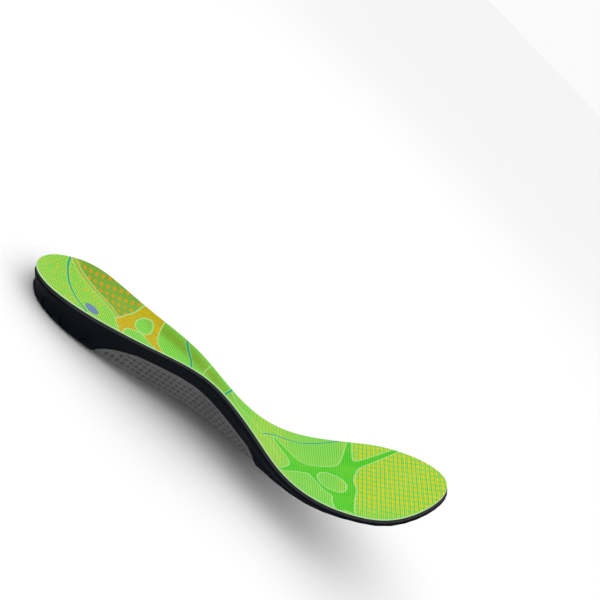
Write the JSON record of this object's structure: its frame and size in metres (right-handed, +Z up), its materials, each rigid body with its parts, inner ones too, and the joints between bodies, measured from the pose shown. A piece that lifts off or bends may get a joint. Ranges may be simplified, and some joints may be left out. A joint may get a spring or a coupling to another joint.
{
  "type": "cushioned insole",
  "caption": "Full-length cushioned left-foot insole: fabric-covered foam on a cupped heel and arch base, with a rigid arch plate and an oval heel pad underneath.",
  "frame": {"origin": "middle of the bounding box in plan, on the plane of the flat underside of the heel", "axes": "+X from heel to toe, +Y to the outer (little toe) side of a left foot, +Z up from the sole to the foot"},
  "size_m": [0.2448, 0.0888, 0.0735],
  "materials": {
    "cover_fabric": "lime green printed knit with pale outlines and small orange dots, matte",
    "foam": "dark soft foam, seen only at the edge between the cover and the base",
    "base_black": "black moulded foam rubber, satin",
    "plate_grey": "grey moulded plastic, dimpled, satin",
    "pad_red": "dark red gel rubber with concentric ridges, semi-gloss"
  },
  "bodies": {
    "root": {"top_cover": "cover_fabric", "cushion_foam": "foam", "base": "base_black", "arch_plate": "plate_grey", "heel_pad": "pad_red"}
  },
  "joints": []
}
